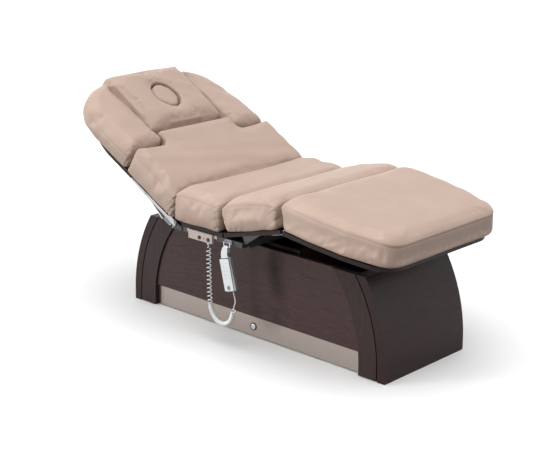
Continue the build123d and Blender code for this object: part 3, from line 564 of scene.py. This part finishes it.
def tube(name, centres, radii, sides, material):
    """A tube of rings round a chain of points, with closed ends."""
    centres = np.asarray(centres)
    radii = np.broadcast_to(np.asarray(radii, float), (len(centres),))
    ahead = np.gradient(centres, axis=0)
    ahead /= np.linalg.norm(ahead, axis=1)[:, None]
    side = np.cross(ahead[0], (0.3, 1.0, 0.2))
    side /= np.linalg.norm(side)
    rings = []
    turn = np.linspace(0, 2 * math.pi, sides, endpoint=False)
    for centre, direction, radius in zip(centres, ahead, radii):
        side = side - direction * side.dot(direction)
        side /= np.linalg.norm(side)
        other = np.cross(direction, side)
        rings.append(centre + radius * (np.outer(np.cos(turn), side) + np.outer(np.sin(turn), other)))
    vertices = np.concatenate(rings)
    faces = []
    for ring in range(len(rings) - 1):
        for k in range(sides):
            a, b = ring * sides + k, ring * sides + (k + 1) % sides
            faces.append((a, b, b + sides, a + sides))
    faces.append(tuple(reversed(range(sides))))
    faces.append(tuple(range(len(vertices) - sides, len(vertices))))
    return new_object(name, vertices, faces, material)


CORD_DIAMETER = 0.0044
COIL_RADIUS = 0.0105 - CORD_DIAMETER / 2
LOOSE_LENGTH, LOOSE_PITCH, TIGHT_PITCH = 0.225, 0.0172, 0.0049
RINGS_PER_TURN = 20
coil_line = spline_points(COIL_ROUTE, 60)
_, coil_length = at_distances(coil_line, np.array([0.0]))
s, phase, places, phases = 0.0, 0.0, [], []
while s < coil_length:
    places.append(s)
    phases.append(phase)
    blend_in = min(1.0, max(0.0, (s - LOOSE_LENGTH) / 0.035))
    last_turns = min(1.0, max(0.0, (s - coil_length + 0.022) / 0.010))
    tight = blend_in * blend_in * (3 - 2 * blend_in) * (1 - 0.75 * last_turns)
    pitch = LOOSE_PITCH + (TIGHT_PITCH - LOOSE_PITCH) * tight
    s += pitch / RINGS_PER_TURN
    phase += 2 * math.pi / RINGS_PER_TURN
places, phases = np.array(places), np.array(phases)
middle_line, _ = at_distances(coil_line, places)
heading = np.gradient(middle_line, axis=0)
heading /= np.linalg.norm(heading, axis=1)[:, None]
across = np.tile((0.0, 1.0, 0.0), (len(places), 1))
upward = np.cross(heading, across)
ease = np.clip(np.minimum((places - 0.007) / 0.010, (coil_length - places) / 0.006), 0, 1)
reach = (COIL_RADIUS * ease * ease * (3 - 2 * ease))[:, None]
helix = middle_line + reach * (np.cos(phases)[:, None] * across + np.sin(phases)[:, None] * upward)
lead_line = spline_points(LEAD_ROUTE, 30)
cord_path = thinned(np.concatenate((helix, lead_line[1:])), 0.0009)
cord = tube("handset_cord", cord_path, CORD_DIAMETER / 2, 10, WHITE_RUBBER)
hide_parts("curly_cord", "cord_lead")
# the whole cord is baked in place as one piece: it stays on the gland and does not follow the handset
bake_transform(cord)


# ---------------------------------------------------------------- handset
HANDSET = middle("handset_shell")
HANDSET_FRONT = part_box("handset_shell")[0].y
HANDSET_TILT = math.radians(14.0)
HANDSET_HALF_WIDTH, HANDSET_HALF_LENGTH = 0.028, 0.069


def on_handset(name, outline, out_low, out_high, material, bevel=0.0004):
    """A flat piece on the handset's front; the outline is (across, up) from the shell's middle."""
    vertices, faces = prism(outline, ((out_low, 0.0), (out_high, 0.0)))
    across = Vector((math.cos(HANDSET_TILT), 0, math.sin(HANDSET_TILT)))
    upward = Vector((-math.sin(HANDSET_TILT), 0, math.cos(HANDSET_TILT)))
    middle_front = Vector((HANDSET.x, HANDSET_FRONT, HANDSET.z))
    placed = [middle_front + across * a + upward * u + Vector((0, -out, 0)) for a, u, out in vertices]
    made = new_object(name, placed, [tuple(reversed(face)) for face in faces], material, smooth=False)
    edge = made.modifiers.new("edge", "BEVEL")
    edge.width, edge.segments, edge.limit_method = bevel, 2, "ANGLE"
    applied(made)
    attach(made, "handset")


def disc(across, up, radius, steps=28):
    turn = np.linspace(0, 2 * math.pi, steps, endpoint=False)
    return np.stack((across + radius * np.cos(turn), up + radius * np.sin(turn)), axis=1)


def oblong(half_width, half_length, radius, down=0.0):
    return rounded([
        (-half_width, -half_length - down), (half_width, -half_length - down),
        (half_width, half_length - down), (-half_width, half_length - down),
    ], radius)


# painted shadow: this dark oblong just under the white face stands in for the shade round the face's bevel,
# not a dark part of the handset
on_handset(
    "handset_shadow_rim", oblong(HANDSET_HALF_WIDTH - 0.0006, HANDSET_HALF_LENGTH - 0.0006, 0.006),
    -0.0008, 0.0010, DARK,
)
on_handset(
    "handset_face", oblong(HANDSET_HALF_WIDTH - 0.0030, HANDSET_HALF_LENGTH - 0.0036, 0.005, 0.0005),
    0.0, 0.0022, WHITE, 0.0007,
)
KEY_AREA_TOP, KEY_STEP, KEY_ROWS = 0.047, 0.0155, 5
for row in range(KEY_ROWS):
    for column in (-1, 1):
        on_handset(
            f"key_mark_{row}_{'left' if column < 0 else 'right'}",
            disc(column * 0.0085, KEY_AREA_TOP - row * KEY_STEP, 0.0016, 14),
            0.0016, 0.0024, GREY, 0.0002,
        )
on_handset("key_ring", disc(0.0, -0.0530, 0.0098), 0.0016, 0.0027, GREY)
# the hanging hook broadens into a fin at the handset's top edge
fin = rounded([
    (-0.0165, 0.0660), (0.0095, 0.0660), (0.0110, 0.0850), (0.0185, 0.1060), (0.0235, 0.1180),
    (0.0160, 0.1200), (0.0020, 0.1120), (-0.0095, 0.0970), (-0.0150, 0.0800),
], 0.004)
on_handset("handset_fin", fin, -0.0080, 0.0006, WHITE, 0.0016)


# ---------------------------------------------------------------- upholstery
CLOTH_FRAMES = 20
CLOTH_PRESSURE = 4.0
PINNED_HEIGHT = 0.012          # of a covering above its underside
PINNED_RIM = 1.12              # round an opening, as a share of the opening's size
GROOVE_DEPTH, GROOVE_HALF_WIDTH = 0.0012, 0.0042


class Cushion:
    """One upholstered piece, modelled in its section's own axes."""

    def __init__(self, name, section, outline, levels, warp, voxel=0.008, rounds=1, cap=0.009, hole=None):
        self.section, self.cap, self.hole = section, cap, hole
        vertices, faces = prism(outline, levels)
        self.obj = new_object(name, vertices, faces, TAUPE)
        self.remesh(voxel)
        if hole:
            cutter = new_object("cutter", *prism(hole[0], ((-0.02, 0.0), (0.2, 0.0))), TAUPE)
            cut = self.obj.modifiers.new("cut", "BOOLEAN")
            cut.operation = "DIFFERENCE"
            cut.object = cutter
            self.remesh(voxel)
        mesh = applied(self.obj)
        if hole:
            bpy.data.objects.remove(cutter)
        relax(mesh, rounds)
        set_coordinates(mesh, warp(coordinates_of(mesh)))
        relax(mesh, 1)
        self.start = coordinates_of(mesh)

    def remesh(self, voxel):
        even = self.obj.modifiers.new("remesh", "REMESH")
        even.mode = "VOXEL"
        even.voxel_size = voxel

    def dress(self):
        """Adds the cloth, pinned along the cushion's underside."""
        low = self.start[:, 2].min()
        group = self.obj.vertex_groups.new(name="pin")
        held = self.start[:, 2] < low + PINNED_HEIGHT
        if self.hole:
            held |= self.hole[1](self.start[:, 0], self.start[:, 1]) < PINNED_RIM
        group.add([int(i) for i in np.nonzero(held)[0]], 1.0, "REPLACE")
        cloth = self.obj.modifiers.new("cloth", "CLOTH")
        settings = cloth.settings
        settings.quality = 4
        settings.mass = 0.35
        settings.tension_stiffness = settings.compression_stiffness = 12
        settings.shear_stiffness = 6
        settings.bending_stiffness = 0.6
        settings.use_pressure = True
        settings.uniform_pressure_force = CLOTH_PRESSURE
        settings.effector_weights.gravity = 0.0
        settings.vertex_group_mass = "pin"
        settings.shrink_min = -0.012
        cloth.collision_settings.use_collision = False

    def undress(self):
        """Keeps the simulated shape, with no point moved further than the cap."""
        mesh = applied(self.obj)
        moved = coordinates_of(mesh) - self.start
        distance = np.linalg.norm(moved, axis=1)[:, None]
        moved *= np.minimum(1, self.cap / np.maximum(distance, 1e-9))
        set_coordinates(mesh, self.start + moved)
        relax(mesh, 1)
        self.obj.vertex_groups.clear()

    def finish(self, body, node, seam_height, detail, fill=0.8, joint=None):
        """Subdivides, adds seams and folds, and hands the piece to its body; with a joint it is baked in
        place instead.
        """
        smooth = self.obj.modifiers.new("smooth", "SUBSURF")
        smooth.levels = 1
        mesh = applied(self.obj)
        local = coordinates_of(mesh)
        normals = normals_of(mesh)
        sideways = np.clip((0.72 - np.abs(normals[:, 2])) / 0.2, 0, 1)
        drop = local[:, 2] - seam_height(local[:, 0], local[:, 1])
        seam = np.where(sideways > 0, drop + (1 - sideways) * 0.05 * np.sign(drop), 0.05)
        groove = -GROOVE_DEPTH * np.exp(-((drop / GROOVE_HALF_WIDTH) ** 2)) * sideways
        height = groove + detail(local, normals, drop, sideways)
        local = local + normals * height[:, None]
        set_coordinates(mesh, self.section.world(local))
        attribute = mesh.attributes.new("seam", "FLOAT", "POINT")
        attribute.data.foreach_set("value", seam.astype(np.float32))
        attribute = mesh.attributes.new("rest", "FLOAT_VECTOR", "POINT")
        attribute.data.foreach_set("vector", local.astype(np.float32).ravel())
        mesh.shade_smooth()
        if not mesh.materials:
            mesh.materials.append(TAUPE)
        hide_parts(node)
        if joint:
            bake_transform(self.obj)
        else:
            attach(self.obj, body)


def top_of(points):
    """Smooth height profile through (s, w) points."""
    s, w = np.array(points).T
    fine = np.linspace(s[0], s[-1], 400)
    width = 0.010 / (fine[1] - fine[0])
    kernel = np.exp(-((np.arange(-60, 61) / width) ** 2))
    padded = np.pad(np.interp(fine, s, w), 60, mode="reflect", reflect_type="odd")
    smooth = np.convolve(padded, kernel / kernel.sum(), mode="valid")
    return lambda value: np.interp(value, fine, smooth)


def ripple(t, wavelength, seed):
    """Uneven row of folds along t."""
    a = np.sin(2 * math.pi * t / wavelength + 1.6 * np.sin(2 * math.pi * t / (wavelength * 3.3) + seed))
    b = 0.55 + 0.45 * np.sin(2 * math.pi * t / (wavelength * 5.1) + 2.3 * seed)
    return a * b


def creases(t, wavelength, seed):
    """Narrow valleys between rounded ridges along t, unevenly spaced."""
    turn = math.pi * t / wavelength + 0.8 * np.sin(2 * math.pi * t / (wavelength * 4.3) + seed)
    return -((1 - np.abs(np.sin(turn + seed))) ** 2.5)


def near(value, centre, reach):
    return np.exp(-(((value - centre) / reach) ** 2))


FLAT, TALL = 0.012, 0.110      # the prisms' own heights, before they are warped


def stretched(local, low, top, shear):
    """Warps a prism: its height to a profile along s, and its ends to lean."""
    share = (local[:, 2] - FLAT) / (TALL - FLAT)
    s = local[:, 0] + shear(local[:, 0], share)
    height = top(s, local[:, 1])
    return np.stack((s, local[:, 1], low + share * (height - low)), axis=1)


def ends_lean(start, start_lean, end, end_lean):
    """Moves points along s by a share of a lean that fades away from each end."""
    def shear(s, share):
        a = np.clip(1 - (s - start) / 0.09, 0, 1)
        b = np.clip(1 - (end - s) / 0.09, 0, 1)
        return share * (a * start_lean + b * end_lean)
    return shear


def shoulders(top, ends, drop, reach=0.034):
    """A top that also falls away towards the corners of the given ends."""
    def height(s, v):
        to_side = np.clip(HALF_WIDTH - np.abs(v), 0, None)
        corner = sum(near(s, end, reach) for end in ends) * np.exp(-((to_side / 0.040) ** 2))
        return top(s) - 0.004 * (np.abs(v) / HALF_WIDTH) ** 6 - drop * corner
    return height


LOAF = ((FLAT, 0.004), (0.024, 0.0), (0.100, 0.0), (0.107, 0.001), (TALL, 0.004))
HALF_WIDTH = 0.407

seat_low = 0.477
seat_top = top_of(
    (
        (-0.300, 0.608), (-0.275, 0.610), (-0.240, 0.611), (-0.190, 0.611),
        (-0.120, 0.608), (-0.070, 0.604), (-0.045, 0.601), (-0.015, 0.597),
    )
)
seat = Cushion(
    "seat_upholstery", SEAT,
    rounded(
        [(-0.291, -HALF_WIDTH), (-0.034, -HALF_WIDTH), (-0.034, HALF_WIDTH), (-0.291, HALF_WIDTH)], 0.014,
    ),
    LOAF,
    lambda local: stretched(
        local, seat_low, shoulders(seat_top, (-0.290, -0.030), 0.012),
        ends_lean(-0.291, 0.002, -0.034, 0.006),
    ),
)
thigh_top = top_of(
    (
        (0.000, 0.117), (0.022, 0.126), (0.050, 0.134), (0.090, 0.140), (0.150, 0.141),
        (0.210, 0.138), (0.270, 0.131), (0.305, 0.124), (0.345, 0.112),
    )
)
thigh = Cushion(
    "thigh_upholstery", THIGH,
    rounded([(0.030, -HALF_WIDTH), (0.310, -HALF_WIDTH), (0.310, HALF_WIDTH), (0.030, HALF_WIDTH)], 0.014),
    LOAF,
    lambda local: stretched(
        local, FLAT, shoulders(thigh_top, (0.010, 0.330), 0.013),
        ends_lean(0.030, -0.022, 0.310, 0.018),
    ),
)
LEG_END = 0.497
leg_top = top_of(
    (
        (-0.025, 0.131), (0.005, 0.132), (0.050, 0.131), (0.200, 0.129),
        (0.360, 0.127), (0.440, 0.124), (0.500, 0.116),
    )
)


def leg_height(s, v):
    """The leg cushion's top: its two corners at the knee are pulled down."""
    to_side = np.clip(HALF_WIDTH - np.abs(v), 0, None)
    corner = near(s, -0.030, 0.070) * np.exp(-((to_side / 0.060) ** 2))
    return leg_top(s) - 0.006 * (np.abs(v) / HALF_WIDTH) ** 5 - 0.016 * corner


leg = Cushion(
    "leg_upholstery", LEG,
    rounded([
        (0.016, -0.408, 0.008), (0.150, -0.406), (0.300, -0.394), (LEG_END, -0.338, 0.096),
        (LEG_END, 0.338, 0.096), (0.300, 0.394), (0.150, 0.406), (0.016, 0.408, 0.008),
    ], 0.060, 10),
    ((FLAT, 0.008), (0.024, 0.0), (0.088, 0.0), (0.103, 0.004), (TALL, 0.012)),
    lambda local: stretched(
        local, FLAT, leg_height,
        ends_lean(0.016, -0.052, LEG_END, 0.0),
    ),
    rounds=2,
)
back_top = top_of(
    (
        (0.010, 0.112), (0.050, 0.117), (0.070, 0.121), (0.100, 0.128), (0.160, 0.133),
        (0.300, 0.136), (0.360, 0.139), (0.395, 0.141), (0.410, 0.140),
    )
)
NOTCH_S, NOTCH_V = 0.327, 0.218
back_shoulders = shoulders(back_top, (0.034,), 0.006)


def back_height(s, v):
    """The back cushion's top: its long edges stand a little higher than its middle."""
    return back_shoulders(s, v) + 0.008 * (np.abs(v) / HALF_WIDTH) ** 4


back = Cushion(
    "back_upholstery", BACK,
    rounded([
        (0.008, -HALF_WIDTH), (NOTCH_S, -HALF_WIDTH), (NOTCH_S, -NOTCH_V, 0.030), (0.408, -NOTCH_V),
        (0.408, NOTCH_V), (NOTCH_S, NOTCH_V, 0.030), (NOTCH_S, HALF_WIDTH), (0.008, HALF_WIDTH),
    ], 0.018),
    LOAF,
    lambda local: stretched(
        local, FLAT, back_height,
        ends_lean(0.008, 0.026, 0.9, 0.0),
    ),
)
ROLL_HEIGHT = 0.139
BOLSTER_OUTLINE = [
    (0.334, 0.402, 0.014), (0.440, 0.407), (0.560, 0.407), (0.646, 0.392), (0.708, 0.358),
    (0.750, 0.307), (0.768, 0.258), (0.770, 0.228, 0.010), (0.334, 0.224, 0.040),
]


def bolster_shape(local):
    """The roll leans over the pillow's side and falls away outwards and towards its head end."""
    s, v, w = local.T
    inner = np.clip(1 - (np.abs(v) - 0.224) / 0.110, 0, 1)
    share = np.clip(w / ROLL_HEIGHT, 0, 1)
    lean = 0.024 * inner * share ** 2
    away = np.clip((s - 0.52) / 0.25, 0, 1)
    outer = np.clip((np.abs(v) - 0.235) / 0.170, 0, 1)
    fall = (0.010 + 0.028 * np.clip((s - 0.37) / 0.20, 0, 1)) * outer ** 1.4 / ROLL_HEIGHT
    height = w * (1 - 0.07 * away * away * (3 - 2 * away) - fall * share)
    return np.stack((s, v - np.sign(v) * lean, height), axis=1)


bolsters = {}
for way, side_name in ((-1, "near"), (1, "far")):
    bolster_plan = rounded([(p[0], way * p[1], *p[2:]) for p in BOLSTER_OUTLINE], 0.05, 8)
    bolsters[side_name] = Cushion(
        f"bolster_{side_name}_upholstery", BACK, bolster_plan,
        (
            (0.004, 0.022), (0.020, 0.004), (0.036, 0.0), (0.092, 0.0), (0.114, 0.004), (0.130, 0.013),
            (ROLL_HEIGHT, 0.030),
        ),
        bolster_shape, rounds=4, cap=0.008,
    )
head_top = top_of(
    (
        (0.000, 0.117), (0.020, 0.126), (0.050, 0.136), (0.100, 0.142),
        (0.190, 0.143), (0.320, 0.141), (0.350, 0.136), (0.376, 0.130),
    )
)
FACE_S, FACE_HALF_LENGTH, FACE_HALF_WIDTH = 0.188, 0.0785, 0.0635


def face_distance(s, v):
    """How far a place is from the middle of the face opening: 1 on its edge."""
    return np.hypot((s - FACE_S) / FACE_HALF_LENGTH, v / FACE_HALF_WIDTH)


def pillow_height(s, v):
    dimple = 0.006 * np.exp(-((np.clip(face_distance(s, v) - 1, 0, None) / 0.7) ** 1.5))
    droop = 0.0145 - 0.0065 * np.tanh(v / 0.1)      # the near edge is thinner than the far one
    return head_top(s) - droop * (np.abs(v) / 0.206) ** 3.5 - dimple


def ellipse(half_length, half_width, steps=64):
    turn = np.linspace(0, 2 * math.pi, steps, endpoint=False)
    return np.stack((FACE_S + half_length * np.cos(turn), half_width * np.sin(turn)), axis=1)


pillow = Cushion(
    "pillow_upholstery", HEAD,
    rounded([(0.005, -0.211), (0.374, -0.211), (0.374, 0.211), (0.005, 0.211)], 0.006),
    ((FLAT, 0.006), (0.030, 0.001), (0.060, 0.0), (0.100, 0.001), (TALL, 0.006)),
    lambda local: stretched(local, 0.012, pillow_height, ends_lean(0.0, 0.013, 0.37, 0.0)),
    voxel=0.005, rounds=1, cap=0.007,
    hole=(ellipse(FACE_HALF_LENGTH, FACE_HALF_WIDTH), face_distance),
)
plug = Cushion(
    "plug_upholstery", HEAD,
    ellipse(0.0720, 0.0570),
    ((0.014, 0.004), (0.03, 0.0), (0.118, 0.0), (0.127, 0.002), (0.133, 0.008)),
    lambda local: local, voxel=0.004, rounds=3, cap=0.0035,
)
cushions = [seat, thigh, leg, back, *bolsters.values(), pillow, plug]
for cushion in cushions:
    cushion.dress()
for number in range(1, CLOTH_FRAMES + 1):
    scene.frame_set(number)
for cushion in cushions:
    cushion.undress()
scene.frame_set(1)


def end_folds(local, edge_s, amount, seed):
    """Pleats and puckers beside a piece's end, where its covering turns the near or far corner."""
    s, v, w = local.T
    side = near(np.abs(v), HALF_WIDTH, 0.030)
    pleats = near(s, edge_s, 0.032) * creases(s + 0.22 * (w - 0.06), 0.015, seed + 0.4 * np.sign(v))
    puckers = near(s, edge_s, 0.026) * creases(w + 0.5 * np.abs(s - edge_s), 0.026, seed + 1.7)
    return amount * side * (1.3 * pleats + 0.8 * puckers)


def hem_folds(local, low, along, wavelength, amount, seed):
    """Shallow gathers just above a covering's lower edge."""
    return amount * near(local[:, 2], low + 0.012, 0.012) * ripple(along, wavelength, seed)


def cushion_detail(start, end, amount, seed, low=FLAT):
    def detail(local, normals, drop, sideways):
        folds = end_folds(local, start, amount, seed) + end_folds(local, end, amount, seed + 2.2)
        hem = hem_folds(local, low, local[:, 0] + local[:, 1], 0.041, 0.0016, seed)
        broad = 0.0012 * (1 - sideways) * ripple(local[:, 0] + 0.3 * local[:, 1], 0.115, seed + 0.9)
        return folds + hem * sideways + broad
    return detail


def back_detail(local, normals, drop, sideways):
    s, v, w = local.T
    folds = end_folds(local, 0.020, 0.0048, 0.6) + end_folds(local, NOTCH_S, 0.0026, 1.9)
    # the lower edge is gathered: it waves in and out over the seat
    edge = near(s, 0.018, 0.030) * ripple(v, 0.150, 2.4) * 0.0034
    diagonal = near(s, 0.060, 0.050) * creases(0.75 * s + 0.50 * np.abs(v), 0.047, 1.1) * 0.0012
    broad = 0.0016 * ripple(s + 0.22 * v, 0.118, 3.1)
    radiating = 0.0
    for way in (-1, 1):
        across, down = v - way * (NOTCH_V + 0.006), s - (NOTCH_S - 0.004)
        far = np.hypot(across, down)
        turn = np.arctan2(down, across * way)
        fade = np.exp(-(((far - 0.045) / 0.040) ** 2))
        radiating = radiating + 0.0022 * fade * creases(turn, 0.30, 0.7 + way)
    level = 1 - sideways
    return folds + level * (edge + diagonal + broad + radiating) + edge * sideways * 0.6


def leg_detail(local, normals, drop, sideways):
    s, v, w = local.T
    knee = end_folds(local, 0.004, 0.0022, 3.3)
    # gathers cross the boxing seam round the two foot corners
    round_s, round_v = s - (LEG_END - 0.100), np.abs(v) - 0.230
    turn = np.arctan2(np.clip(round_s, 0, None), np.clip(round_v, 1e-4, None))
    corner = np.exp(-(((turn - 0.72) / 0.62) ** 2)) * (round_s > 0) * (round_v > 0)
    gathers = 0.0024 * corner * near(drop, -0.004, 0.015) * creases(turn, 0.075, 0.4)
    welt = 0.0020 * near(drop, 0.007, 0.0045) * np.clip((s - 0.43) / 0.03, 0, 1)
    at_foot = np.clip((s - 0.30) / 0.1, 0, 1)
    hem = 0.0008 * near(w, 0.026, 0.005) * ripple(s - np.abs(v), 0.0095, 0.2) * at_foot
    slack = 0.0014 * near(w, 0.055, 0.030) * ripple(0.6 * s - w, 0.052, 2.2) * near(s, 0.17, 0.14)
    broad = 0.0010 * ripple(s + 0.35 * v, 0.190, 1.4)
    return knee + sideways * (gathers + welt + hem + slack) + (1 - sideways) * broad


def bolster_detail(local, normals, drop, sideways):
    s, v, w = local.T
    start = end_folds(local, 0.338, 0.0026, 0.8)
    inner = near(np.abs(v), 0.236, 0.045) * near(s, 0.40, 0.10)
    folds = 0.0018 * inner * ripple(s + 0.8 * np.abs(v), 0.047, 1.3)
    broad = 0.0012 * ripple(s + 0.6 * v, 0.13, 0.3)
    return start + folds + broad * (1 - sideways)


def pillow_detail(local, normals, drop, sideways):
    s, v, w = local.T
    run = np.abs(s - FACE_S)
    turn = np.arctan2(v, run)
    fade = np.exp(-(((run - 0.128) / 0.030) ** 2)) * np.exp(-((v / 0.070) ** 2))
    radiating = 0.0018 * fade * creases(turn + 1.6 * run, 0.085, 0.9 + 0.5 * np.sign(s - FACE_S))
    rim = 0.0008 * near(face_distance(s, v), 1.10, 0.06)
    broad = 0.0010 * ripple(s + 0.5 * v, 0.125, 2.0)
    hem = 0.0006 * near(w, 0.050, 0.022) * ripple(s + v, 0.034, 0.5)
    return (1 - sideways) * (radiating + rim + broad) + sideways * hem


def plug_detail(local, normals, drop, sideways):
    return 0.0006 * ripple(local[:, 0] + local[:, 1], 0.05, 0.4)


SEAM_DROP = 0.024
seat.finish(
    "top_frame", "seat_cushion", lambda s, v: seat_top(s) - SEAM_DROP,
    cushion_detail(-0.286, -0.036, 0.0036, 0.9, seat_low),
)
thigh.finish(
    "thigh", "thigh_cushion", lambda s, v: thigh_top(s) - SEAM_DROP,
    cushion_detail(0.026, 0.312, 0.0036, 2.1),
    joint=("top_frame", "thigh", THIGH.point(0.005, 0, 0.06), THIGH.point(0.105, 0, 0.06)),
)
leg.finish(
    "leg", "leg_cushion", lambda s, v: leg_top(s) - SEAM_DROP, leg_detail,
    joint=("thigh", "leg", LEG.point(0.0, 0, 0.06), LEG.point(0.090, 0, 0.06)),
)
back.finish(
    "back", "back_cushion", lambda s, v: back_top(s) - SEAM_DROP, back_detail,
    joint=("top_frame", "back", BACK.point(0.015, 0, 0.06), BACK.point(0.120, 0, 0.06)),
)
for side_name, bolster in bolsters.items():
    bolster.finish("back", f"bolster_{side_name}", lambda s, v: 0.074 + 0 * s, bolster_detail)
pillow.finish("headrest", "head_pillow", lambda s, v: 0.080 + 0 * s, pillow_detail)
plug.finish("face_plug", "face_plug", lambda s, v: 0.2 + 0 * s, plug_detail)
